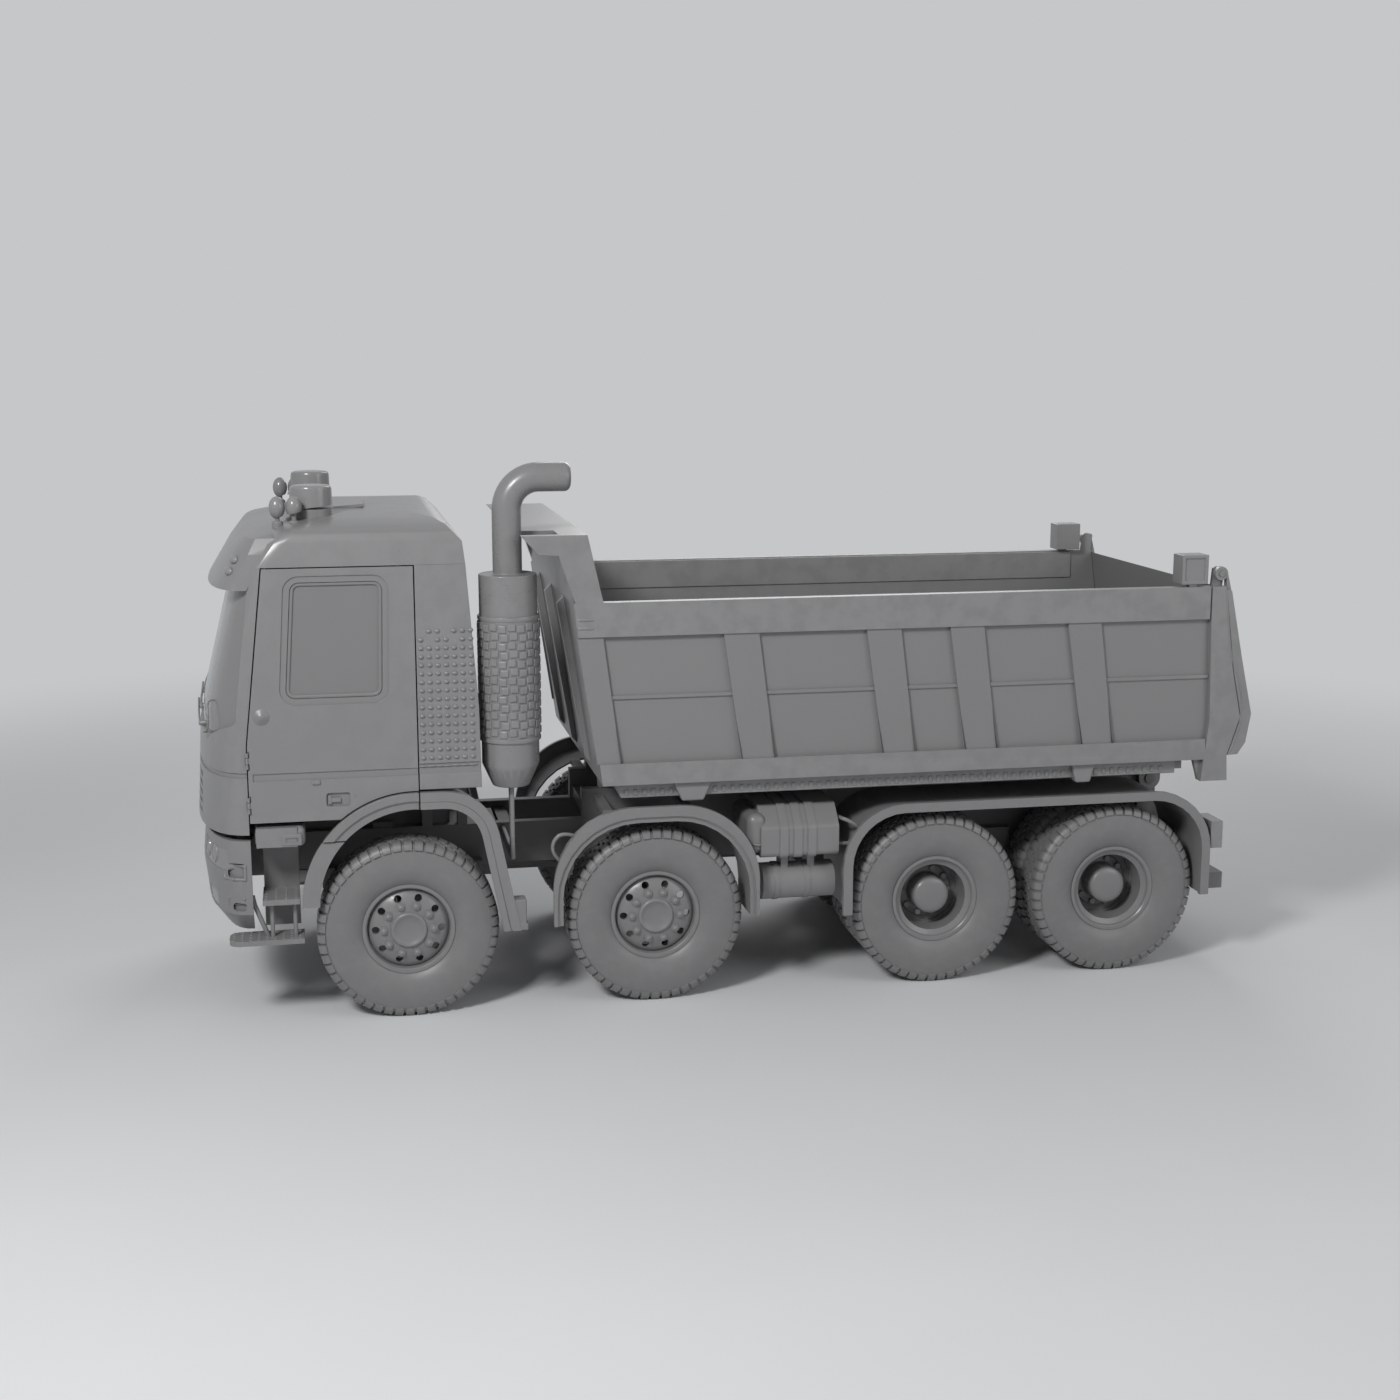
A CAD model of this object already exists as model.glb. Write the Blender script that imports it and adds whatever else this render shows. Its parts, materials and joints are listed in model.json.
import json
import math
import bmesh
import bpy
from mathutils import Matrix, Vector
from mathutils.bvhtree import BVHTree


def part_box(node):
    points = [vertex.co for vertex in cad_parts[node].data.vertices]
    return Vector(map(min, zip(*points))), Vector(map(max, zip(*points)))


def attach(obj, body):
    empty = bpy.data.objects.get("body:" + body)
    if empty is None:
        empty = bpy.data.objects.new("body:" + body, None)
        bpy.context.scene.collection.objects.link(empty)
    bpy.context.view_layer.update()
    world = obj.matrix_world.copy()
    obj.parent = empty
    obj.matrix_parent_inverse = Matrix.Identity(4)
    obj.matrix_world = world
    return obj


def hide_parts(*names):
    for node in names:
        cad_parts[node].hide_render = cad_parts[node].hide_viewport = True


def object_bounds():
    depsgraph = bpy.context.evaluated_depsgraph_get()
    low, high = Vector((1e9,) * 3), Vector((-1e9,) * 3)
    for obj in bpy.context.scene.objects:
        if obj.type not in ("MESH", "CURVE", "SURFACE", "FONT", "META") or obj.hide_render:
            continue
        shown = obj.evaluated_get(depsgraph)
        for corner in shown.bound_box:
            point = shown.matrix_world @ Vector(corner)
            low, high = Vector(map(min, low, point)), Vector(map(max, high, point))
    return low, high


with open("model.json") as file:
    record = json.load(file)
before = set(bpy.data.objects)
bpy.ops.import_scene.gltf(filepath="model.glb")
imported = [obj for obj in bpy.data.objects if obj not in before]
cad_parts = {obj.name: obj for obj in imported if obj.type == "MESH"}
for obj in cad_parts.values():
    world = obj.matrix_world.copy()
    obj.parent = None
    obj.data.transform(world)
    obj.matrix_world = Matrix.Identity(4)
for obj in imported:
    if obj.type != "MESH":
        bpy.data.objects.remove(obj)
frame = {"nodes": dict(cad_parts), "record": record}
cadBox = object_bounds()
cadNodes = frame["nodes"]
nodeSlot = {part["node"]: part["material_slot"] for part in frame["record"]["subparts"]}
bodyOf = {node: body for body, nodes in frame["record"]["behaviour"]["bodies"].items() for node in nodes}
scene = bpy.context.scene
print("frame loaded:", len(cadNodes), "nodes")


# Shader maths

class Wire:  # one shader socket that can stand in a sum
    def __init__(self, finish, socket):
        self.finish = finish
        self.socket = socket

    def maths(self, operation, first, second):
        return self.finish.node("ShaderNodeMath", {"operation": operation}, {0: first, 1: second})

    def __add__(self, other):
        return self.maths("ADD", self, other)

    def __radd__(self, other):
        return self.maths("ADD", other, self)

    def __sub__(self, other):
        return self.maths("SUBTRACT", self, other)

    def __rsub__(self, other):
        return self.maths("SUBTRACT", other, self)

    def __mul__(self, other):
        return self.maths("MULTIPLY", self, other)

    def __rmul__(self, other):
        return self.maths("MULTIPLY", other, self)

    def between(self, low, high):  # 0 below low, 1 above high, smooth between
        return self.finish.node(
            "ShaderNodeMapRange", {"interpolation_type": "SMOOTHSTEP"},
            {"Value": self, "From Min": low, "From Max": high})


class Finish:  # one material, or the world, while it is made
    def __init__(self, holder):
        self.holder = holder
        self.holder.use_nodes = True
        self.tree = self.holder.node_tree

    def feed(self, socket, value):
        if isinstance(value, Wire):
            self.tree.links.new(value.socket, socket)
        else:
            socket.default_value = value

    def node(self, kind, settings=None, sockets=None, output=0):
        made = self.tree.nodes.new(kind)
        for key, value in (settings or {}).items():
            setattr(made, key, value)
        for key, value in (sockets or {}).items():
            self.feed(made.inputs[key], value)
        return Wire(self, made.outputs[output])

    def place(self):
        return self.node("ShaderNodeTexCoord", output="Object")

    def upward(self):  # 1 on faces that look up
        normal = self.node("ShaderNodeTexCoord", output="Normal")
        return self.node("ShaderNodeSeparateXYZ", None, {0: normal}, "Z")

    def height(self):  # metres above the ground
        return self.node("ShaderNodeSeparateXYZ", None, {0: self.place()}, "Z")

    def noise(self, scale, detail=3.0, rough=0.55):
        sockets = {"Vector": self.place(), "Scale": scale, "Detail": detail, "Roughness": rough}
        return self.node("ShaderNodeTexNoise", None, sockets, "Fac")

    def edge(self):  # rises along convex edges
        return self.node("ShaderNodeNewGeometry", output="Pointiness").between(0.515, 0.575)

    def blend(self, share, first, second):
        return self.node("ShaderNodeMix", {"data_type": "RGBA"}, {0: share, 6: first, 7: second}, 2)

    def bump(self, height, strength, distance):
        sockets = {"Height": height, "Strength": strength, "Distance": distance}
        return self.node("ShaderNodeBump", None, sockets)

    def seenBare(self):  # 1 where the camera, a mirror or glass looks at it
        path = [self.node("ShaderNodeLightPath", output=way) for way in (
            "Is Camera Ray", "Is Glossy Ray", "Is Transmission Ray")]
        return path[0] + path[1] + path[2]

    def surface(self, shader):
        output = next(node for node in self.tree.nodes if node.type.startswith("OUTPUT"))
        self.feed(output.inputs["Surface"], shader)

    def done(self, **sockets):
        shader = self.tree.nodes["Principled BSDF"]
        for key, value in sockets.items():
            self.feed(shader.inputs[key.replace("_", " ")], value)
        return self.holder


def newFinish(name):
    return Finish(bpy.data.materials.new(name))


def grey(tone):  # linear grey as a colour
    return (tone, tone, tone * 1.01, 1.0)


# Finishes: linear tone, roughness, road dust on upper faces, grain size and depth, edge wear

looks = {
    "body_paint": {"tone": 0.215, "rough": 0.29, "dust": 0.10, "grain": 420, "depth": 0.04, "wear": 0.14},
    "bed_paint": {"tone": 0.215, "rough": 0.34, "dust": 0.20, "grain": 260, "depth": 0.06, "wear": 0.22},
    "chassis_paint": {"tone": 0.165, "rough": 0.44, "dust": 0.25, "grain": 300, "depth": 0.08, "wear": 0.15},
    "rim_paint": {"tone": 0.200, "rough": 0.32, "dust": 0.18, "grain": 380, "depth": 0.05, "wear": 0.20},
    "exhaust_steel": {"tone": 0.215, "rough": 0.28, "dust": 0.14, "grain": 340, "depth": 0.05, "wear": 0.20},
    "trim": {"tone": 0.205, "rough": 0.36, "dust": 0.16, "grain": 900, "depth": 0.14, "wear": 0.10},
    "pane": {"tone": 0.200, "rough": 0.15, "dust": 0.08, "grain": 90, "depth": 0.01, "wear": 0.0},
    "lens": {"tone": 0.235, "rough": 0.22, "dust": 0.12, "grain": 160, "depth": 0.02, "wear": 0.08},
}


def paintFinish(name, look):
    finish = newFinish(name)
    broad = finish.noise(0.9, 3.0)
    patch = finish.noise(7.0, 5.0, 0.6)
    grain = finish.noise(look["grain"], 2.0)
    tone = look["tone"]
    dust = (finish.upward() * 0.7 + patch * 0.8).between(0.80, 1.35) * look["dust"]
    splash = (1.5 - finish.height() + broad * 0.5).between(0.5, 1.6) * patch * 0.30  # road grime low down
    colour = finish.blend(broad, grey(tone * 0.97), grey(tone * 1.03))
    colour = finish.blend(splash, colour, grey(tone * 0.80))
    colour = finish.blend(dust, colour, grey(tone * 1.22))
    if look["wear"]:
        wear = finish.edge() * patch.between(0.35, 0.6) * look["wear"]
        colour = finish.blend(wear, colour, grey(tone * 1.6))
    rough = look["rough"] - 0.04 + patch * 0.08 + dust * 0.25
    normal = finish.bump(grain, look["depth"], 0.002)
    return finish.done(Base_Color=colour, Roughness=rough, Normal=normal)


def rubberFinish():
    finish = newFinish("tyre_rubber")
    patch = finish.noise(11.0, 5.0, 0.6)
    grain = finish.noise(520.0, 3.0)
    dust = patch.between(0.42, 0.7) * 0.4
    colour = finish.blend(dust, grey(0.180), grey(0.212))
    normal = finish.bump(grain + patch * 0.5, 0.18, 0.002)
    return finish.done(Base_Color=colour, Roughness=0.36 + patch * 0.14, Normal=normal)


def clothFinish():
    finish = newFinish("seat_cloth")
    weave = []
    for direction in ("X", "Z"):
        settings = {"wave_type": "BANDS", "bands_direction": direction}
        sockets = {"Vector": finish.place(), "Scale": 90.0, "Distortion": 0.4}
        weave.append(finish.node("ShaderNodeTexWave", settings, sockets, "Fac"))
    threads = weave[0] * weave[1]
    fuzz = finish.noise(60.0, 4.0)
    colour = finish.blend(threads * 0.6 + fuzz * 0.4, grey(0.09), grey(0.16))
    normal = finish.bump(threads, 0.35, 0.002)
    return finish.done(Base_Color=colour, Roughness=0.85, Normal=normal, Sheen_Weight=0.3)


def steelFinish():
    finish = newFinish("rod_steel")
    settings = {"wave_type": "BANDS", "bands_direction": "DIAGONAL"}
    sockets = {"Vector": finish.place(), "Scale": 160.0, "Distortion": 1.0}
    rings = finish.node("ShaderNodeTexWave", settings, sockets, "Fac")
    haze = finish.noise(14.0, 4.0)
    colour = finish.blend(haze, grey(0.42), grey(0.55))
    return finish.done(Base_Color=colour, Roughness=0.2 + rings * 0.08 + haze * 0.1, Metallic=0.9)


finishes = {slot: paintFinish(slot, look) for slot, look in looks.items()}
finishes["tyre_rubber"] = rubberFinish()
finishes["cloth"] = clothFinish()
finishes["rod_steel"] = steelFinish()
print("finishes made:", len(finishes))


# Making pieces

def addPiece(name, bm, body, slot, stands=(), crease=38):
    mesh = bpy.data.meshes.new(name)
    bm.to_mesh(mesh)
    bm.free()
    mesh.materials.clear()
    mesh.materials.append(finishes[slot])
    mesh.polygons.foreach_set("material_index", [0] * len(mesh.polygons))
    mesh.shade_smooth()
    mesh.set_sharp_from_angle(angle=math.radians(crease))
    piece = bpy.data.objects.new(name, mesh)
    scene.collection.objects.link(piece)
    even = piece.modifiers.new("evenShading", "WEIGHTED_NORMAL")
    even.keep_sharp = True
    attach(piece, body)
    if stands:
        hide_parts(*stands)
    return piece


def bevelEdges(part, edges, width, segments=2, clamp=True):
    bmesh.ops.bevel(part, geom=edges, offset=width, offset_type="OFFSET", segments=segments, profile=0.5,
                    affect="EDGES", clamp_overlap=clamp, material=-1)


def sharpEdges(part, angle):
    return [edge for edge in part.edges
            if len(edge.link_faces) == 2 and edge.calc_face_angle(0.0) > math.radians(angle)]


def merge(part, gap):  # joins points that meet and clears the edges inside flat faces
    bmesh.ops.remove_doubles(part, verts=part.verts, dist=gap)
    bmesh.ops.dissolve_limit(part, angle_limit=math.radians(1.0), verts=part.verts, edges=part.edges)


def copyNode(node):  # a CAD mesh, merged into one skin
    part = bmesh.new()
    part.from_mesh(cadNodes[node].data)
    merge(part, 2e-5)
    return part


def block(low, high, bevel=0.006, segments=2):
    part = bmesh.new()
    bmesh.ops.create_cube(part, size=1.0)
    low, high = Vector(low), Vector(high)
    bmesh.ops.scale(part, vec=high - low, verts=part.verts)
    bmesh.ops.translate(part, vec=(low + high) / 2, verts=part.verts)
    if bevel:
        bevelEdges(part, part.edges[:], bevel, segments)
    return part


def turned(profile, steps=48):  # profile of (radius, height), turned about Z
    part = bmesh.new()
    chain = [part.verts.new((radius, 0.0, height)) for radius, height in profile]
    edges = [part.edges.new(pair) for pair in zip(chain, chain[1:])]
    bmesh.ops.spin(part, geom=chain + edges, axis=(0, 0, 1), cent=(0, 0, 0), steps=steps,
                   angle=2 * math.pi, use_merge=True)
    bmesh.ops.remove_doubles(part, verts=part.verts, dist=1e-6)
    rims = [edge for edge in part.edges if edge.is_boundary]
    if profile[0][0] > 0 and profile[-1][0] > 0:  # a ring gets its inner wall
        bmesh.ops.bridge_loops(part, edges=rims)
    elif rims:  # a cap gets its underside
        bmesh.ops.holes_fill(part, edges=rims)
    bmesh.ops.recalc_face_normals(part, faces=part.faces)
    return part


def tube(points, radius, order=3):  # round bar along a route
    curve = bpy.data.curves.new("route", "CURVE")
    curve.dimensions = "3D"
    curve.bevel_depth = radius
    curve.bevel_resolution = 3
    curve.use_fill_caps = True
    spline = curve.splines.new("NURBS")
    spline.points.add(len(points) - 1)
    for point, place in zip(spline.points, points):
        point.co = (*place, 1.0)
    spline.order_u = order
    spline.use_endpoint_u = True
    spline.resolution_u = 10
    holder = bpy.data.objects.new("route", curve)
    mesh = bpy.data.meshes.new_from_object(holder)
    part = bmesh.new()
    part.from_mesh(mesh)
    bpy.data.objects.remove(holder)
    bpy.data.meshes.remove(mesh)
    bpy.data.curves.remove(curve)
    bmesh.ops.remove_doubles(part, verts=part.verts, dist=1e-6)
    bmesh.ops.recalc_face_normals(part, faces=part.faces)
    return part


def join(bm, part, matrix=Matrix.Identity(4)):  # adds a copy of a part at a place
    moved = part.copy()
    moved.transform(matrix)
    if matrix.determinant() < 0:
        bmesh.ops.reverse_faces(moved, faces=moved.faces)
    carrier = bpy.data.meshes.new("carrier")
    moved.to_mesh(carrier)
    moved.free()
    bm.from_mesh(carrier)
    bpy.data.meshes.remove(carrier)


rightHand = Matrix.Scale(-1.0, 4, (0, 1, 0))
farLeft, farFront = -3.0, -6.0  # where lines towards the truck start
trees = {}


def landing(node, start, direction):  # where a straight line first meets a CAD node
    if node not in trees:
        shell = bmesh.new()
        shell.from_mesh(cadNodes[node].data)
        trees[node] = BVHTree.FromBMesh(shell)
        shell.free()
    return trees[node].ray_cast(Vector(start), Vector(direction))[:2]  # place and normal


def joinBoth(bm, part, matrix=Matrix.Identity(4)):  # on the left as drawn, and mirrored on the right
    join(bm, part, matrix)
    join(bm, part, rightHand @ matrix)


def addPair(name, part, leftBody, rightBody, slot, crease=38):  # one piece a side, drawn on the left
    for side, body, matrix in (("left", leftBody, Matrix.Identity(4)), ("right", rightBody, rightHand)):
        bm = bmesh.new()
        join(bm, part, matrix)
        addPiece(name + "_" + side, bm, body, slot, (), crease)
    part.free()


def facing(place, direction):  # turns a part's Z to a direction and moves it to a place
    return Matrix.Translation(place) @ Vector(direction).to_track_quat("Z", "Y").to_matrix().to_4x4()


# Tyres: the spun skin carries shoulder lugs and middle blocks raised from its own faces

tyreShape = {
    "radius": 0.613, "width": 0.315, "rim": 0.3005, "flank": 0.052, "groove": (0.046, 0.054),
    "lugs": 50, "lugSteps": 5, "lugHeight": 0.015, "lugChamfer": 0.0022, "twinTurn": 0.02,
    "bulge": [
        (0.10, 0.036), (0.16, 0.026), (0.25, 0.015), (0.36, 0.0065), (0.47, 0.0018),
        (0.58, 0.0), (0.70, 0.0015), (0.81, 0.0045), (0.91, 0.0085), (1.0, 0.0115)],
}


def tyreSkin(shape):
    radius, half, rim = shape["radius"], shape["width"] / 2, shape["rim"]
    base = radius - shape["lugHeight"]
    flank = radius - shape["flank"]
    wall = flank - 0.006 - rim
    grooveLow, grooveHigh = shape["groove"]
    outer = [(rim, half - 0.048), (rim + 0.012, half - 0.047)]
    outer += [(rim + wall * share, half - inset) for share, inset in shape["bulge"]]
    outer += [
        (flank + 0.008, half - 0.0150), (flank + 0.020, half - 0.0200), (base - 0.008, half - 0.0280),
        (base, half - 0.040), (base, half - 0.075), (base, grooveHigh), (base, grooveLow),
    ]
    loop = outer + [(base, 0.0)] + [(r, -y) for r, y in reversed(outer)]
    skin = bmesh.new()
    chain = [skin.verts.new((r, y, 0.0)) for r, y in loop]
    edges = [skin.edges.new(pair) for pair in zip(chain, chain[1:] + chain[:1])]
    steps = shape["lugs"] * shape["lugSteps"]
    bmesh.ops.spin(skin, geom=chain + edges, axis=(0, 1, 0), cent=(0, 0, 0), steps=steps,
                   angle=2 * math.pi, use_merge=True)
    bmesh.ops.recalc_face_normals(skin, faces=skin.faces)
    raised = []
    for face in skin.faces:
        middle = face.calc_center_median()
        reach = math.hypot(middle.x, middle.z)
        if reach < flank - 0.001:
            continue
        turn = math.atan2(middle.z, middle.x) / (2 * math.pi) * steps
        if abs(middle.y) > grooveHigh:
            shift = 2 if middle.y > 0 else 0
        elif abs(middle.y) < grooveLow:
            shift = 1 if middle.y > 0 else 3
        else:
            continue
        if (turn + shift) % shape["lugSteps"] < shape["lugSteps"] - 1:
            raised.append(face)
    bmesh.ops.inset_region(skin, faces=raised, thickness=shape["lugChamfer"], depth=shape["lugHeight"],
                           use_boundary=True, use_even_offset=True)
    return skin


tyre = tyreSkin(tyreShape)
for wheel in ("1l", "1r", "2l", "2r", "3l", "3r", "4l", "4r"):
    node = "tyre_" + wheel
    low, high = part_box(node)
    rows = [high.y - tyreShape["width"] / 2]
    if high.y - low.y > tyreShape["width"] * 1.5:  # twin tyres
        rows.append(low.y + tyreShape["width"] / 2)
    bm = bmesh.new()
    for row, y in enumerate(rows):
        spot = Matrix.Translation(((low.x + high.x) / 2, y, (low.z + high.z) / 2))
        join(bm, tyre, spot @ Matrix.Rotation(tyreShape["twinTurn"] * row, 4, "Y"))
    addPiece(node + "_tread", bm, bodyOf[node], "tyre_rubber", [node], 45)
tyre.free()
print("tyres done")


# Every rigid CAD node gets rounded edges: bevel width in metres, by node

edgeWidth = {
    "cab_front": 0.010, "cab_rear": 0.010, "cab_roof": 0.012, "sun_visor": 0.010, "front_bumper": 0.010,
    "door_left": 0.009, "door_right": 0.009, "windscreen": 0.003, "door_glass_left": 0.004,
    "door_glass_right": 0.004, "bed_side_left": 0.006, "bed_side_right": 0.006, "bed_headboard": 0.012,
    "tailgate": 0.014, "arch_flares": 0.009, "front_arches": 0.009, "mid_guards": 0.009,
    "rear_guards": 0.009, "side_tanks": 0.009,
    "roof_lights": 0.014, "bed_lamps": 0.014, "lamps": 0.008, "heat_shield": 0.003, "entry_steps": 0.010,
    "hoist_rod": 0.004, "hoist_barrel": 0.005, "exhaust": 0.012, "rear_underrun": 0.012,
}
plainEdge = 0.005
roundedFrom = 28  # degrees
framed = {  # faces set back inside a frame: axis, smallest area, frame, depth and where they begin
    "bed_lamps": {"axis": 1, "area": 0.02, "frame": 0.024, "depth": 0.012, "from": (2.9, 0.8, 2.83)},
    "lamps": {"axis": 0, "area": 0.01, "frame": 0.012, "depth": 0.006, "from": (3.0, 0.8, 0.5)},
}
frameSlope = 0.004
roofShape = {"seam": 3.105, "share": 0.81}  # the crown as low as in the photograph
visorShape = {
    "rear": ((-3.3225, 2.905), (-3.1955, 3.335)), "low": 3.110, "top": 3.360, "reach": 0.030, "slope": 0.35}
archShape = {
    "arch_flares": -2.3275, "front_arches": -2.3275, "mid_guards": -0.6275,
    "axle": 0.613, "face": 1.268, "setBack": 0.016}
latchShape = {
    "from": ((-2.8795, 1.590), (-2.7355, 1.650)), "to": ((-2.846, 1.512), (-2.690, 1.604)), "margin": 0.004}
ribShape = {"low": (-1.400, 1.721), "high": (3.300, 2.593), "setBack": 0.014, "clear": 0.050, "merge": 2e-4}
tipHinge = next(joint for joint in frame["record"]["behaviour"]["joints"] if joint["name"] == "bed_tip")
pinShape = {"centre": tipHinge["pos_m"][::2], "radius": 0.040, "slim": 0.0006}
pipeEnd = 0.042
bracketShape = {"middle": (-1.6035, -1.050), "half": 0.041, "foot": 1.120, "top": 1.566, "share": 0.40}
plateShape = {"front": -3.505, "top": 0.64, "rise": 0.02, "round": 0.075}


def looksOut(face, axis=1):
    return face.normal[axis] * face.calc_center_median()[axis] > 0 and abs(face.normal[axis]) > 0.98


def setBack(part, frameShape):
    lowX, lowY, lowZ = frameShape["from"]
    chosen = []
    for face in part.faces:
        middle = face.calc_center_median()
        inside = middle.x > lowX and abs(middle.y) > lowY and middle.z > lowZ
        if inside and looksOut(face, frameShape["axis"]) and face.calc_area() > frameShape["area"]:
            chosen.append(face)
    for face in chosen:
        bmesh.ops.inset_individual(part, faces=[face], thickness=frameShape["frame"], use_even_offset=True)
        bmesh.ops.inset_individual(part, faces=[face], thickness=frameSlope, depth=-frameShape["depth"])


def lowerCrown(part, shape):
    for vert in part.verts:
        if vert.co.z > shape["seam"]:
            vert.co.z = shape["seam"] + (vert.co.z - shape["seam"]) * shape["share"]


def seatVisor(part, shape):  # cheeks and hood run on into the roof
    (lowX, lowZ), (highX, highZ) = shape["rear"]
    for vert in part.verts:
        cut = lowX + (vert.co.z - lowZ) / (highZ - lowZ) * (highX - lowX)
        onCheek = vert.co.z > shape["low"] and abs(vert.co.x - cut) < 0.002
        if onCheek or vert.co.z > shape["top"]:
            vert.co.x += shape["reach"] + shape["slope"] * (vert.co.z - shape["low"])


def sinkInnerLip(part, axleX, shape):  # the lip nearer the wheel stands a little further in
    for side in (-1, 1):
        lips = {}
        for face in part.faces:
            if looksOut(face) and face.calc_center_median().y * side > shape["face"]:
                reaches = [math.hypot(vert.co.x - axleX, vert.co.z - shape["axle"]) for vert in face.verts]
                lips[face] = sum(reaches) / len(reaches)
        inner = min(lips, key=lips.get)
        bmesh.ops.translate(part, vec=(0, -side * shape["setBack"], 0), verts=inner.verts)


def moveLatch(part, shape):
    (lowX, lowZ), (highX, highZ) = shape["from"]
    (newLowX, newLowZ), (newHighX, newHighZ) = shape["to"]
    margin = shape["margin"]
    for vert in part.verts:
        if lowX - margin < vert.co.x < highX + margin and lowZ - margin < vert.co.z < highZ + margin:
            vert.co.x = newLowX + (vert.co.x - lowX) * (newHighX - newLowX) / (highX - lowX)
            vert.co.z = newLowZ + (vert.co.z - lowZ) * (newHighZ - newLowZ) / (highZ - lowZ)


def carved(part, low, high):  # the part without what lies in a box
    holders = []
    for name, shape in (("carved", part), ("carver", block(low, high, 0))):
        mesh = bpy.data.meshes.new(name)
        shape.to_mesh(mesh)
        shape.free()
        holders.append(bpy.data.objects.new(name, mesh))
        scene.collection.objects.link(holders[-1])
    cut = holders[0].modifiers.new("cut", "BOOLEAN")
    cut.operation = "DIFFERENCE"
    cut.solver = "EXACT"
    cut.object = holders[1]
    result = bmesh.new()
    result.from_mesh(holders[0].evaluated_get(bpy.context.evaluated_depsgraph_get()).to_mesh())
    for holder in holders:
        bpy.data.objects.remove(holder)
    return result


def sunkRibs(part, side, shape):  # ribs stand behind the face of the two rails
    front = cadBox[1].y - shape["setBack"]
    (lowX, lowZ), (highX, highZ) = shape["low"], shape["high"]
    ends = sorted((side * front, side * (front + shape["clear"])))
    wall = carved(part, (lowX, ends[0], lowZ), (highX, ends[1], highZ))
    merge(wall, shape["merge"])
    return wall


def slimPin(part, shape):  # flat facets of the pin clear those of its bore while the bed tips
    middleX, middleZ = shape["centre"]
    share = 1 - shape["slim"] / shape["radius"]
    for vert in part.verts:
        acrossX, acrossZ = vert.co.x - middleX, vert.co.z - middleZ
        if abs(math.hypot(acrossX, acrossZ) - shape["radius"]) < 1e-4:
            vert.co.x = middleX + acrossX * share
            vert.co.z = middleZ + acrossZ * share


def roundPipeEnd(part, width):
    tip = max(vert.co.x for vert in part.verts)
    rim = [edge for edge in part.edges if all(vert.co.x > tip - 1e-4 for vert in edge.verts)]
    bevelEdges(part, rim, width, 5)


def slimBracket(part, shape):  # the stand under the silencer
    middleX, middleY = shape["middle"]
    for vert in part.verts:
        onStand = abs(vert.co.y - middleY) < shape["half"] and vert.co.z < shape["top"]
        if abs(vert.co.x - middleX) < shape["half"] and (onStand or vert.co.z < shape["foot"]):
            vert.co.x = middleX + (vert.co.x - middleX) * shape["share"]


def roundPlateNose(part, shape):  # upright edges at the front of the lower step plates
    upright = []
    for edge in part.edges:
        first, second = (vert.co for vert in edge.verts)
        inFront = max(first.x, second.x) < shape["front"] and max(first.z, second.z) < shape["top"]
        if inFront and abs(first.z - second.z) > shape["rise"]:
            upright.append(edge)
    bevelEdges(part, upright, shape["round"], 6)


for node in cadNodes:
    if node.startswith("tyre_") or node == "seats":
        continue
    part = copyNode(node)
    if node in framed:
        setBack(part, framed[node])
    elif node in ("cab_roof", "sun_visor"):
        if node == "sun_visor":
            seatVisor(part, visorShape)
        lowerCrown(part, roofShape)
    elif node in archShape:
        sinkInnerLip(part, archShape[node], archShape)
    elif node in ("door_left", "door_right"):
        moveLatch(part, latchShape)
    elif node in ("bed_side_left", "bed_side_right"):
        part = sunkRibs(part, -1 if node.endswith("left") else 1, ribShape)
    elif node == "subframe":
        slimPin(part, pinShape)
    elif node == "exhaust":
        roundPipeEnd(part, pipeEnd)
        slimBracket(part, bracketShape)
    elif node == "entry_steps":
        roundPlateNose(part, plateShape)
    bevelEdges(part, sharpEdges(part, roundedFrom), edgeWidth.get(node, plainEdge), 2)
    addPiece(node + "_skin", part, bodyOf[node], nodeSlot[node], [node])
print("edges rounded")


# Seats: cloth-blown pads on a box base

seatShape = {
    "x": -2.3275, "y": 0.62, "floor": 1.690,
    "base": ((-0.330, -0.200, 0.0), (0.130, 0.200, 0.262)),
    "cushion": ((-0.362, -0.242, 0.278), (0.142, 0.242, 0.402)),
    "back": ((0.018, -0.232, 0.030), (0.112, 0.232, 0.742)), "backFoot": (0.100, 0.400), "backLean": 10.0,
    "voxel": 0.0135, "pressure": 4.0, "cap": 0.022, "frames": 20,
    "channels": (-0.115, 0.0, 0.115), "channelDepth": 0.012, "channelWidth": 0.014,
}


def blown(part, shape):  # swells like a filled cloth cover, each point held within the cap
    mesh = bpy.data.meshes.new("pad")
    part.to_mesh(mesh)
    part.free()
    pad = bpy.data.objects.new("pad", mesh)
    scene.collection.objects.link(pad)
    remesh = pad.modifiers.new("remesh", "REMESH")
    remesh.mode = "VOXEL"
    remesh.voxel_size = shape["voxel"]
    pad.data = bpy.data.meshes.new_from_object(pad.evaluated_get(bpy.context.evaluated_depsgraph_get()))
    pad.modifiers.clear()
    start = [vert.co.copy() for vert in pad.data.vertices]
    cloth = pad.modifiers.new("cloth", "CLOTH")
    cloth.settings.use_pressure = True
    cloth.settings.uniform_pressure_force = shape["pressure"]
    cloth.settings.effector_weights.gravity = 0.0
    cloth.point_cache.frame_end = shape["frames"]
    for step in range(1, shape["frames"] + 1):
        scene.frame_set(step)
    result = bmesh.new()
    result.from_mesh(pad.evaluated_get(bpy.context.evaluated_depsgraph_get()).to_mesh())
    result.verts.ensure_lookup_table()
    for vert, place in zip(result.verts, start):
        move = vert.co - place
        if move.length > shape["cap"]:
            vert.co = place + move * (shape["cap"] / move.length)
    bpy.data.objects.remove(pad)
    scene.frame_set(1)
    return result


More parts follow.
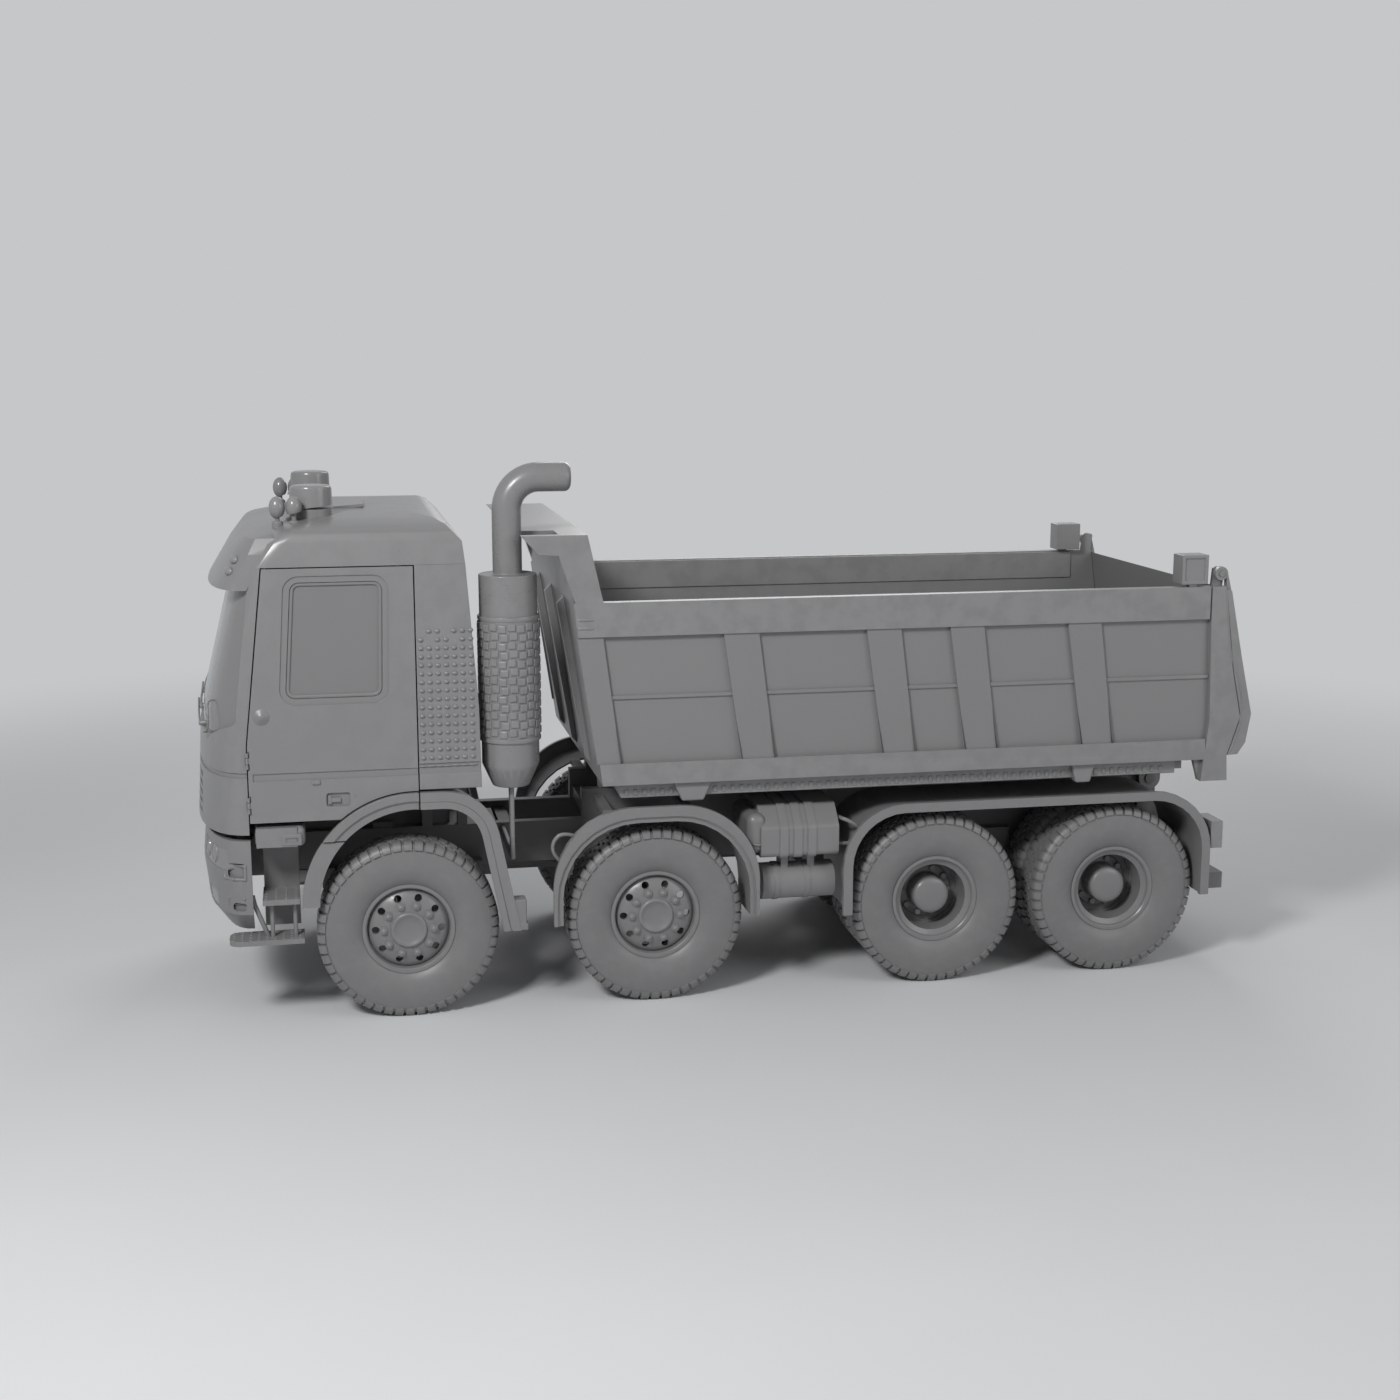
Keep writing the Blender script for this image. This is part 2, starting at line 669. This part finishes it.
def sewn(part, axis, shape):  # channels pressed in along the pad, on the side that is sat on
    for vert in part.verts:
        for line in shape["channels"]:
            gap = abs(vert.co.y - line) / shape["channelWidth"]
            if gap < 3.0:
                press = shape["channelDepth"] * math.exp(-gap * gap)
                vert.co -= axis * press * max(vert.normal.dot(axis), 0.0)


cushionPad = blown(block(*seatShape["cushion"], 0.030, 3), seatShape)
sewn(cushionPad, Vector((0, 0, 1)), seatShape)
backPad = blown(block(*seatShape["back"], 0.028, 3), seatShape)
sewn(backPad, Vector((-1, 0, 0)), seatShape)
footX, footZ = seatShape["backFoot"]
lean = Matrix.Rotation(math.radians(seatShape["backLean"]), 4, "Y")
backSpot = Matrix.Translation((footX, 0, footZ)) @ lean
seatBases = bmesh.new()
seatBase = block(*seatShape["base"], 0.020, 3)
for side, y in (("left", -seatShape["y"]), ("right", seatShape["y"])):
    spot = Matrix.Translation((seatShape["x"], y, seatShape["floor"]))
    join(seatBases, seatBase, spot)
    for name, pad, place in (("cushion", cushionPad, spot), ("back", backPad, spot @ backSpot)):
        bm = bmesh.new()
        join(bm, pad, place)
        piece = addPiece("seat_" + name + "_" + side, bm, "cab", "cloth", (), 60)
        piece.modifiers.clear()
        soften = piece.modifiers.new("soften", "SUBSURF")
        soften.levels = soften.render_levels = 1
addPiece("seat_bases", seatBases, "cab", "trim", ["seats"])
for part in (cushionPad, backPad, seatBase):
    part.free()
print("seats done")


# Doors: knob, crease lamp, pull handle and the rubber round each pane

doorShape = {
    "face": -1.250,
    "knob": {"x": -3.2455, "z": 2.130, "profile": [
        (0.0, 0.0235), (0.010, 0.0230), (0.020, 0.0200), (0.040, 0.0085),
        (0.050, 0.0050), (0.055, 0.0), (0.055, -0.008)]},
    "lamp": ((-2.936, -1.262, 1.666), (-2.882, -1.235, 1.696)),
    "handle": (
        ((-2.836, -1.251, 1.528), (-2.812, -1.236, 1.588)),
        ((-2.814, -1.253, 1.540), (-2.752, -1.238, 1.572))),
    "rubber": 0.024, "rubberStands": 0.013, "rubberRound": 0.006,
}


def paneRubber(node, outward, shape):  # a raised ring on the rim of a pane
    part = copyNode(node)
    face = max((f for f in part.faces if f.normal.y * outward > 0.9), key=lambda f: f.calc_area())
    bmesh.ops.delete(part, geom=[f for f in part.faces if f is not face], context="FACES")
    ring = bmesh.ops.inset_region(part, faces=[face], thickness=shape["rubber"], use_boundary=True,
                                  use_even_offset=True)["faces"]
    bmesh.ops.delete(part, geom=[face], context="FACES_ONLY")
    raised = bmesh.ops.extrude_face_region(part, geom=ring)["geom"]
    tops = [item for item in raised if isinstance(item, bmesh.types.BMVert)]
    bmesh.ops.translate(part, vec=(0, outward * shape["rubberStands"], 0), verts=tops)
    bmesh.ops.recalc_face_normals(part, faces=part.faces)
    rims = [edge for edge in sharpEdges(part, 50) if any(vert in tops for vert in edge.verts)]
    bevelEdges(part, rims, shape["rubberRound"], 2)
    return part


fittings = bmesh.new()
knob = turned(doorShape["knob"]["profile"], 36)
join(fittings, knob, facing((doorShape["knob"]["x"], doorShape["face"], doorShape["knob"]["z"]), (0, -1, 0)))
join(fittings, block(*doorShape["lamp"], 0.006, 3))
for corners in doorShape["handle"]:
    join(fittings, block(*corners, 0.005, 2))
addPair("door_fittings", fittings, "left_door", "right_door", "trim")
for side, outward in (("left", -1), ("right", 1)):
    rubber = paneRubber("door_glass_" + side, outward, doorShape)
    addPiece("pane_rubber_" + side, rubber, side + "_door", "trim")
knob.free()
print("door fittings done")


# Cab quarter: rows of pressed domes behind the door

quarterShape = {
    "firstX": -2.203, "stepX": 0.0547, "columns": 7, "firstZ": 1.758, "stepZ": 0.0567, "rows": 17,
    "dome": [(0.0, 0.0140), (0.006, 0.0132), (0.011, 0.0098), (0.0145, 0.0045), (0.0160, -0.002)],
    "wide": (1.25, 1.0), "slit": (2.2, 0.55), "gaps": ((15, 1), (15, 4), (16, 0), (16, 3)),
}
dome = turned(quarterShape["dome"], 10)
domes = bmesh.new()
for row in range(quarterShape["rows"]):
    for column in range(quarterShape["columns"]):
        if (row, column) in quarterShape["gaps"]:
            continue
        x = quarterShape["firstX"] + column * quarterShape["stepX"]
        z = quarterShape["firstZ"] + row * quarterShape["stepZ"]
        place, normal = landing("cab_rear", (x, farLeft, z), (0, 1, 0))
        stretch = quarterShape["wide" if row else "slit"]  # the lowest row is slits
        joinBoth(domes, dome, facing(place, normal) @ Matrix.Diagonal((*stretch, 1.0, 1.0)))
dome.free()
addPiece("quarter_domes", domes, "cab", "body_paint", (), 60)


# Visor lamps, wipers and the grab loops at the screen's lower corners

frontShape = {
    "visorLamps": ((-1.100, 3.150), (-1.090, 3.075)), "visorLampSize": (0.052, 0.030, 0.026),
    "wipers": ((-0.62, -0.10), (0.02, 0.54), (0.66, 1.02)), "wiperLow": 2.030, "wiperRise": 0.055,
    "wiperBar": 0.007, "wiperPoints": 10, "bladeOut": 0.017, "armOut": 0.034, "armFoot": 0.060,
    "boss": [(0.0, 0.044), (0.014, 0.042), (0.018, 0.034), (0.020, -0.010)], "bossDrop": 0.03,
    "loop": ((-0.93, 1.985), (-1.01, 2.010), (-1.02, 2.110), (-0.95, 2.205)),
    "loopOut": 0.045, "loopBar": 0.006, "loopSunk": 0.02,
}


def onScreen(y, z, out):  # a point just off the windscreen or the panel under it
    place, normal = landing("windscreen", (farFront, y, z), (1, 0, 0))
    if place is None:
        place, normal = landing("cab_front", (farFront, y, z), (1, 0, 0))
    return place + normal * out


frontTrim = bmesh.new()
bar, rise, drop = frontShape["wiperBar"], frontShape["wiperRise"], frontShape["bossDrop"]
z = frontShape["wiperLow"]
shares = [k / (frontShape["wiperPoints"] - 1) for k in range(frontShape["wiperPoints"])]
boss = turned(frontShape["boss"], 20)
for low, high in frontShape["wipers"]:
    middle = (low + high) / 2
    foot = low - frontShape["armFoot"]
    blade = []
    arm = []
    for share in shares:
        blade.append(onScreen(low + (high - low) * share, z + rise * (1 + share), frontShape["bladeOut"]))
        armZ = z - drop + (rise * 1.5 + drop) * share
        arm.append(onScreen(foot + (middle - foot) * share, armZ, frontShape["armOut"]))
    join(frontTrim, tube(blade, bar))
    join(frontTrim, tube(arm, bar * 0.9))
    join(frontTrim, boss, facing(onScreen(foot, z - drop, 0.0), (-1, 0, 0)))
boss.free()
loop = [onScreen(*frontShape["loop"][0], -frontShape["loopSunk"])]
loop += [onScreen(y, z, frontShape["loopOut"]) for y, z in frontShape["loop"]]
loop += [onScreen(*frontShape["loop"][-1], -frontShape["loopSunk"])]
loopBar = tube(loop, frontShape["loopBar"])
joinBoth(frontTrim, loopBar)
loopBar.free()
addPiece("wipers_and_loops", frontTrim, "cab", "trim", (), 60)
markers = bmesh.new()
bead = bmesh.new()
bmesh.ops.create_uvsphere(bead, u_segments=20, v_segments=12, radius=1.0)
bmesh.ops.scale(bead, vec=frontShape["visorLampSize"], verts=bead.verts)
for y, z in frontShape["visorLamps"]:
    place, normal = landing("sun_visor", (farFront, y, z), (1, 0, 0))
    joinBoth(markers, bead, facing(place, normal))
bead.free()
addPiece("visor_lamps", markers, "cab", "lens", (), 60)
print("cab front done")


# Exhaust: woven heat guard and its clamps

guardShape = {
    "centre": (-1.6035, -1.050), "radius": 0.203, "columns": 20, "rows": 13, "low": 1.946, "step": 0.0595,
    "cell": ((-0.0265, -0.0250, -0.006), (0.0265, 0.0250, 0.0085)), "round": 0.0070,
    "rowShift": 0.22, "columnShift": 0.2, "clamps": (1.897, 2.722), "clamp": [
        (0.195, -0.014), (0.2065, -0.013), (0.2085, -0.008),
        (0.2085, 0.008), (0.2065, 0.013), (0.195, 0.014)],
}
cell = block(*guardShape["cell"], guardShape["round"], 2)
weave = bmesh.new()
guardX, guardY = guardShape["centre"]
for row in range(guardShape["rows"]):
    for column in range(guardShape["columns"]):
        turn = (column + guardShape["rowShift"] * (row % 2)) / guardShape["columns"] * 2 * math.pi
        out = Vector((math.cos(turn), math.sin(turn), 0))
        side = Vector((-math.sin(turn), math.cos(turn), 0))
        basis = Matrix((side, (0, 0, 1), out)).transposed().to_4x4()
        rise = (row + guardShape["columnShift"] * (column % 2)) * guardShape["step"]
        middle = Vector((guardX, guardY, guardShape["low"] + rise)) + out * guardShape["radius"]
        join(weave, cell, Matrix.Translation(middle) @ basis)
cell.free()
clamp = turned(guardShape["clamp"], 72)
for z in guardShape["clamps"]:
    join(weave, clamp, Matrix.Translation((guardX, guardY, z)))
clamp.free()
addPiece("heat_guard_weave", weave, "chassis", "exhaust_steel", (), 50)
print("exhaust done")


# Load bed: rail bars, inner rails, runner beams with cleats, rest brackets and the gate's seam

bedShape = {
    "bars": ((-1.158, 2.712), (-1.158, 2.655)), "barLength": 0.100, "barRadius": 0.014, "barY": -1.2680,
    "barBend": 0.012, "barSunk": 0.03,
    "rests": ((-0.374, 0.140, 0.075), (2.470, 0.090, 0.055)), "restTop": 1.574, "restFoot": 1.432,
    "restY": (-1.235, -1.115),
    "innerRail": ((-1.060, -1.199, 2.602), (3.300, -1.178, 2.818)),
    "runner": ((-0.930, -1.190, 1.462), (3.190, -1.120, 1.575)), "runnerNose": 0.060, "noseReach": 0.02,
    "cleat": ((-0.016, -0.006, -0.022), (0.016, 0.006, 0.022)), "cleatStep": 0.062, "cleatZ": 1.500,
    "cleatFrom": 0.10, "cleatSpare": 0.15,
    "seam": (
        (3.484, 2.800), (3.511, 2.571), (3.547, 2.302), (3.628, 2.124), (3.653, 1.859), (3.589, 1.657),
        (3.565, 1.615)), "seamBar": 0.0065, "seamY": -1.2735,
}
bedTrim = bmesh.new()
barY, bend = bedShape["barY"], bedShape["barBend"]
for x, z in bedShape["bars"]:
    sunkY, endX = barY + bedShape["barSunk"], x + bedShape["barLength"]
    route = [(x, sunkY, z), (x, barY, z), (x + bend, barY, z)]
    route += [(endX - bend, barY, z), (endX, barY, z), (endX, sunkY, z)]
    bar = tube(route, bedShape["barRadius"])
    joinBoth(bedTrim, bar)
    bar.free()
innerRail = block(*bedShape["innerRail"], 0.008, 2)
runner = block(*bedShape["runner"], 0.004, 1)
runnerX, runnerY, runnerZ = bedShape["runner"][0]
for vert in runner.verts:  # sloping nose
    if vert.co.x < runnerX + bedShape["noseReach"] and vert.co.z < runnerZ + bedShape["noseReach"]:
        vert.co.x += bedShape["runnerNose"]
for part in (innerRail, runner):
    joinBoth(bedTrim, part)
    part.free()
cleat = block(*bedShape["cleat"], 0.004, 1)
runnerLength = bedShape["runner"][1][0] - runnerX
for k in range(int((runnerLength - bedShape["cleatSpare"]) / bedShape["cleatStep"])):
    cleatX = runnerX + bedShape["cleatFrom"] + k * bedShape["cleatStep"]
    joinBoth(bedTrim, cleat, Matrix.Translation((cleatX, runnerY, bedShape["cleatZ"])))
cleat.free()
seam = tube([(x, bedShape["seamY"], z) for x, z in bedShape["seam"]], bedShape["seamBar"])
seamTrim = bmesh.new()
joinBoth(seamTrim, seam)
seam.free()
for x, wide, narrow in bedShape["rests"]:
    rest = bmesh.new()
    bmesh.ops.create_cube(rest, size=1.0)
    for vert in rest.verts:
        high = vert.co.z > 0
        vert.co = Vector((x + math.copysign(wide if high else narrow, vert.co.x),
                          bedShape["restY"][0 if vert.co.y < 0 else 1],
                          bedShape["restTop"] if high else bedShape["restFoot"]))
    bevelEdges(rest, rest.edges[:], 0.014, 3)
    joinBoth(bedTrim, rest)
    rest.free()
addPiece("bed_fittings", bedTrim, "load_bed", "bed_paint")
addPiece("gate_seam", seamTrim, "rear_gate", "bed_paint")
print("bed fittings done")


# Chassis: tank handle and link rod, guard stays, bumper rims, step boxes, step studs and lamp bowls

chassisShape = {
    "rod": ((0.640, -1.150, 1.056), (0.790, -1.150, 1.053)), "rodRadius": 0.013, "socket": [
        (0.0, 0.030), (0.018, 0.030), (0.024, 0.024), (0.026, 0.0), (0.018, -0.006), (0.0, -0.006)],
    "handle": (
        (0.060, -1.060, 1.085), (0.052, -1.190, 1.087), (0.110, -1.205, 1.084), (0.150, -1.150, 1.082)),
    "rearStay": (
        (0.850, -1.180, 1.158), (0.760, -1.180, 1.222), (0.700, -1.160, 1.240),
        (0.700, -0.900, 1.215), (0.700, -0.385, 1.100)),
    "midStay": (
        (-1.270, -1.180, 1.020), (-1.335, -1.180, 1.080), (-1.345, -1.180, 1.170),
        (-1.280, -1.180, 1.240), (-1.200, -1.180, 1.215)),
    "radius": {"handle": 0.009, "rearStay": 0.014, "midStay": 0.014},
    "stepPlates": ((-3.262, -3.066, -1.240, -0.985, 0.900), (-3.480, -3.050, -1.245, -1.075, 0.625)),
    "stud": [(0.0, 0.0045), (0.007, 0.0040), (0.011, 0.0015), (0.012, -0.002)], "studStep": 0.052,
    "stepBox": ((-3.318, -1.257, 1.248), (-2.992, -0.945, 1.386)), "stepRound": 0.040,
    "bezel": ((-3.146, -1.2725, 1.262), (-3.014, -1.250, 1.342)), "bezelFrame": 0.016,
    "bezelDepth": 0.013, "bezelSlope": 0.003,
    "slantBar": ((-3.352, -1.165, 0.905), (-3.340, -1.165, 0.840), (-3.256, -1.165, 0.618)),
    "slantWidth": 0.016,
    "archFoot": ((-1.630, -1.270, 0.592), (-1.534, -1.150, 0.806)),
    "archSole": ((-1.640, -1.272, 0.590), (-1.524, -1.140, 0.640)),
    "tankNose": ((0.024, -1.190, 1.012), (0.160, -0.640, 1.300)), "tankRound": 0.060,
    "airBands": (0.250, 0.470), "airAxis": (-1.020, 0.775), "airBand": [
        (0.126, -0.022), (0.134, -0.020), (0.136, -0.014), (0.136, 0.014), (0.134, 0.020), (0.126, 0.022)],
    "frames": (((-3.524, 1.038), (-3.390, 1.128), 0.011), ((-3.507, 0.856), (-3.398, 0.904), 0.008)),
    "bowls": ((-0.985, 1.175), (-0.800, 1.175)), "bowl": [
        (0.0, 0.006), (0.030, 0.005), (0.050, 0.001), (0.058, 0.001), (0.062, 0.006),
        (0.068, 0.006), (0.072, -0.006)],
}
metalwork = bmesh.new()
rodStart, rodEnd = (Vector(end) for end in chassisShape["rod"])
rod = tube([rodStart, rodStart.lerp(rodEnd, 0.5), rodEnd], chassisShape["rodRadius"])
joinBoth(metalwork, rod)
socket = turned(chassisShape["socket"], 24)
joinBoth(metalwork, socket, facing(rodEnd, (-1, 0, 0)))
for name, radius in chassisShape["radius"].items():
    bar = tube(chassisShape[name], radius)
    joinBoth(metalwork, bar)
    bar.free()
for part in (rod, socket):
    part.free()
slant = tube(chassisShape["slantBar"], chassisShape["slantWidth"], 2)
archFoot = block(*chassisShape["archFoot"], 0.010, 3)
archSole = block(*chassisShape["archSole"], 0.010, 3)
for part in (slant, archFoot, archSole):
    joinBoth(metalwork, part)
    part.free()
for x in chassisShape["airBands"]:
    band = turned(chassisShape["airBand"], 48)
    joinBoth(metalwork, band, facing((x, *chassisShape["airAxis"]), (1, 0, 0)))
    band.free()
for (lowX, lowZ), (highX, highZ), bar in chassisShape["frames"]:  # raised rims round the bumper's recesses
    outline = [((lowX + highX) / 2, lowZ), (lowX, lowZ), (lowX, lowZ), (lowX, highZ), (lowX, highZ),
               (highX, highZ), (highX, highZ), (highX, lowZ), (highX, lowZ), ((lowX + highX) / 2, lowZ)]
    route = []
    for x, z in outline:
        place, normal = landing("front_bumper", (x, farLeft, z), (0, 1, 0))
        if place is not None and place.y < -0.9:
            route.append(place)
    if len(route) == len(outline):
        rim = tube(route, bar)
        joinBoth(metalwork, rim)
        rim.free()
addPiece("chassis_stays", metalwork, "chassis", "trim", (), 50)
boxes = bmesh.new()
stepBox = block(*chassisShape["stepBox"], chassisShape["stepRound"], 5)
bezel = block(*chassisShape["bezel"], 0.010, 2)
front = min(bezel.faces, key=lambda face: face.normal.y - face.calc_area())
bmesh.ops.inset_individual(bezel, faces=[front], thickness=chassisShape["bezelFrame"], use_even_offset=True)
bmesh.ops.inset_individual(bezel, faces=[front], thickness=chassisShape["bezelSlope"],
                           depth=-chassisShape["bezelDepth"])
tankNose = block(*chassisShape["tankNose"], chassisShape["tankRound"], 6)
for part in (stepBox, bezel, tankNose):
    joinBoth(boxes, part)
    part.free()
addPiece("step_boxes", boxes, "chassis", "trim")
stud = turned(chassisShape["stud"], 8)
treads = bmesh.new()
for lowX, highX, lowY, highY, z in chassisShape["stepPlates"]:
    across = int((highX - lowX) / chassisShape["studStep"])
    along = int((highY - lowY) / chassisShape["studStep"])
    for i in range(across + 1):
        for j in range(along + 1):
            place = (lowX + (highX - lowX) * i / across, lowY + (highY - lowY) * j / along, z)
            joinBoth(treads, stud, Matrix.Translation(place))
stud.free()
addPiece("step_studs", treads, "chassis", "trim", (), 60)
bowls = bmesh.new()
bowl = turned(chassisShape["bowl"], 32)
for y, z in chassisShape["bowls"]:
    place, normal = landing("lamps", (farFront, y, z), (1, 0, 0))
    if place is not None:
        joinBoth(bowls, bowl, facing(place, normal))
bowl.free()
addPiece("lamp_bowls", bowls, "chassis", "lens", (), 50)
print("chassis fittings done")


# Steered wheels: dished hub cap and domed nuts; roof lights: feet down to the roof

wheelShape = {
    "nuts": 10, "nutCircle": 0.168, "nut": [
        (0.0, 0.020), (0.012, 0.019), (0.018, 0.013), (0.020, 0.006), (0.028, 0.004), (0.030, -0.004)],
    "nutOut": 0.016, "hubDish": [
        (0.0, 0.002), (0.040, 0.003), (0.072, 0.007), (0.092, 0.014), (0.102, 0.021), (0.110, 0.023),
        (0.118, 0.020), (0.124, 0.010), (0.128, -0.006)],
    "lip": 0.120, "dishOut": 0.010,
}
nut = turned(wheelShape["nut"], 12)
dish = turned(wheelShape["hubDish"], 64)
for wheel in ("1l", "1r", "2l", "2r"):
    low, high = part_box("tyre_" + wheel)
    side = -1 if wheel[1] == "l" else 1
    face = (low.y + high.y) / 2 + side * wheelShape["lip"]
    hub = Vector(((low.x + high.x) / 2, face, (low.z + high.z) / 2))
    bm = bmesh.new()
    join(bm, dish, facing(hub + Vector((0, side * wheelShape["dishOut"], 0)), (0, side, 0)))
    for k in range(wheelShape["nuts"]):
        turn = 2 * math.pi * k / wheelShape["nuts"]
        out = Vector((math.cos(turn), 0, math.sin(turn))) * wheelShape["nutCircle"]
        join(bm, nut, facing(hub + out + Vector((0, side * wheelShape["nutOut"], 0)), (0, side, 0)))
    addPiece("wheel_nuts_" + wheel, bm, bodyOf["rim_" + wheel], "rim_paint", (), 45)
for part in (nut, dish):
    part.free()
feetShape = {
    "beacon": (-2.8775, -0.700), "beaconFoot": [
        (0.0, 3.240), (0.168, 3.240), (0.168, 3.372), (0.163, 3.380), (0.145, 3.382),
        (0.143, 3.440), (0.0, 3.440)],
    "horns": (-3.0985, -2.9895), "hornY": -0.900, "hornFoot": [
        (0.0, 3.240), (0.036, 3.240), (0.036, 3.366), (0.030, 3.374), (0.016, 3.378),
        (0.016, 3.430), (0.0, 3.430)],
}
feet = bmesh.new()
beaconFoot = turned(feetShape["beaconFoot"], 64)
joinBoth(feet, beaconFoot, Matrix.Translation((*feetShape["beacon"], 0)))
hornFoot = turned(feetShape["hornFoot"], 24)
for x in feetShape["horns"]:
    joinBoth(feet, hornFoot, Matrix.Translation((x, feetShape["hornY"], 0)))
for part in (beaconFoot, hornFoot):
    part.free()
addPiece("light_feet", feet, "cab", "trim", (), 40)
print("wheel nuts and light feet done")


# Camera, light and floor

view = {
    "place": (-2.8832, -14.0019, 4.5654), "target": (-0.0785, 0.0, 1.9007),
    "lens": 50.0, "sensor": 36.0, "far": 200.0}
cameraData = bpy.data.cameras.new("camera")
cameraData.lens = view["lens"]
cameraData.sensor_width = view["sensor"]
cameraData.clip_end = view["far"]
camera = bpy.data.objects.new("camera", cameraData)
camera.location = view["place"]
camera.rotation_euler = (Vector(view["target"]) - Vector(view["place"])).to_track_quat("-Z", "Y").to_euler()
scene.collection.objects.link(camera)
scene.camera = camera

lampTarget = Vector((0, 0, 1.2))
studio = {
    "key": {"place": (-7.5, -10.0, 10.0), "size": 2.6, "power": 1250.0},
    "fill": {"place": (8.0, -8.0, 6.0), "size": 6.0, "power": 260.0},
    "rim": {"place": (3.0, 9.0, 8.0), "size": 6.0, "power": 400.0},
}
for name, lamp in studio.items():
    lampData = bpy.data.lights.new(name, "AREA")
    lampData.size = lamp["size"]
    lampData.energy = lamp["power"]
    lampObject = bpy.data.objects.new(name, lampData)
    lampObject.location = lamp["place"]
    aim = lampTarget - Vector(lamp["place"])
    lampObject.rotation_euler = aim.to_track_quat("-Z", "Y").to_euler()
    scene.collection.objects.link(lampObject)

backdrop = {
    "colour": (0.56, 0.57, 0.58, 1.0), "light": (0.86, 0.87, 0.88, 1.0), "strength": 0.24, "near": 5.5,
    "far": 15.0, "floor": ((0.70, 0.71, 0.72, 1.0), (0.74, 0.75, 0.76, 1.0)), "half": 90.0}
scene.world = bpy.data.worlds.new("studio")
sky = Finish(scene.world)
lit = sky.node("ShaderNodeBackground", None, {"Color": backdrop["light"], "Strength": backdrop["strength"]})
bare = sky.node("ShaderNodeBackground", None, {"Color": backdrop["colour"], "Strength": 1.0})
sky.surface(sky.node("ShaderNodeMixShader", None, {0: sky.seenBare(), 1: lit, 2: bare}))

bm = bmesh.new()
bmesh.ops.create_grid(bm, x_segments=1, y_segments=1, size=backdrop["half"])
floorMesh = bpy.data.meshes.new("floor")
bm.to_mesh(floorMesh)
bm.free()
floorFinish = newFinish("floor")
mottle = floorFinish.noise(0.6, 3.0)
floorFinish.done(Base_Color=floorFinish.blend(mottle, *backdrop["floor"]), Roughness=0.75)
reach = floorFinish.node("ShaderNodeVectorMath", {"operation": "LENGTH"}, {0: floorFinish.place()}, "Value")
fade = reach.between(backdrop["near"], backdrop["far"]) * floorFinish.seenBare()
glow = floorFinish.node("ShaderNodeEmission", None, {"Color": backdrop["colour"]})
plain = Wire(floorFinish, floorFinish.tree.nodes["Principled BSDF"].outputs[0])
floorFinish.surface(floorFinish.node("ShaderNodeMixShader", None, {0: fade, 1: plain, 2: glow}))
floorMesh.materials.append(floorFinish.holder)
floor = bpy.data.objects.new("floor", floorMesh)
scene.collection.objects.link(floor)
scene.view_settings.view_transform = "Standard"
print("studio ready")
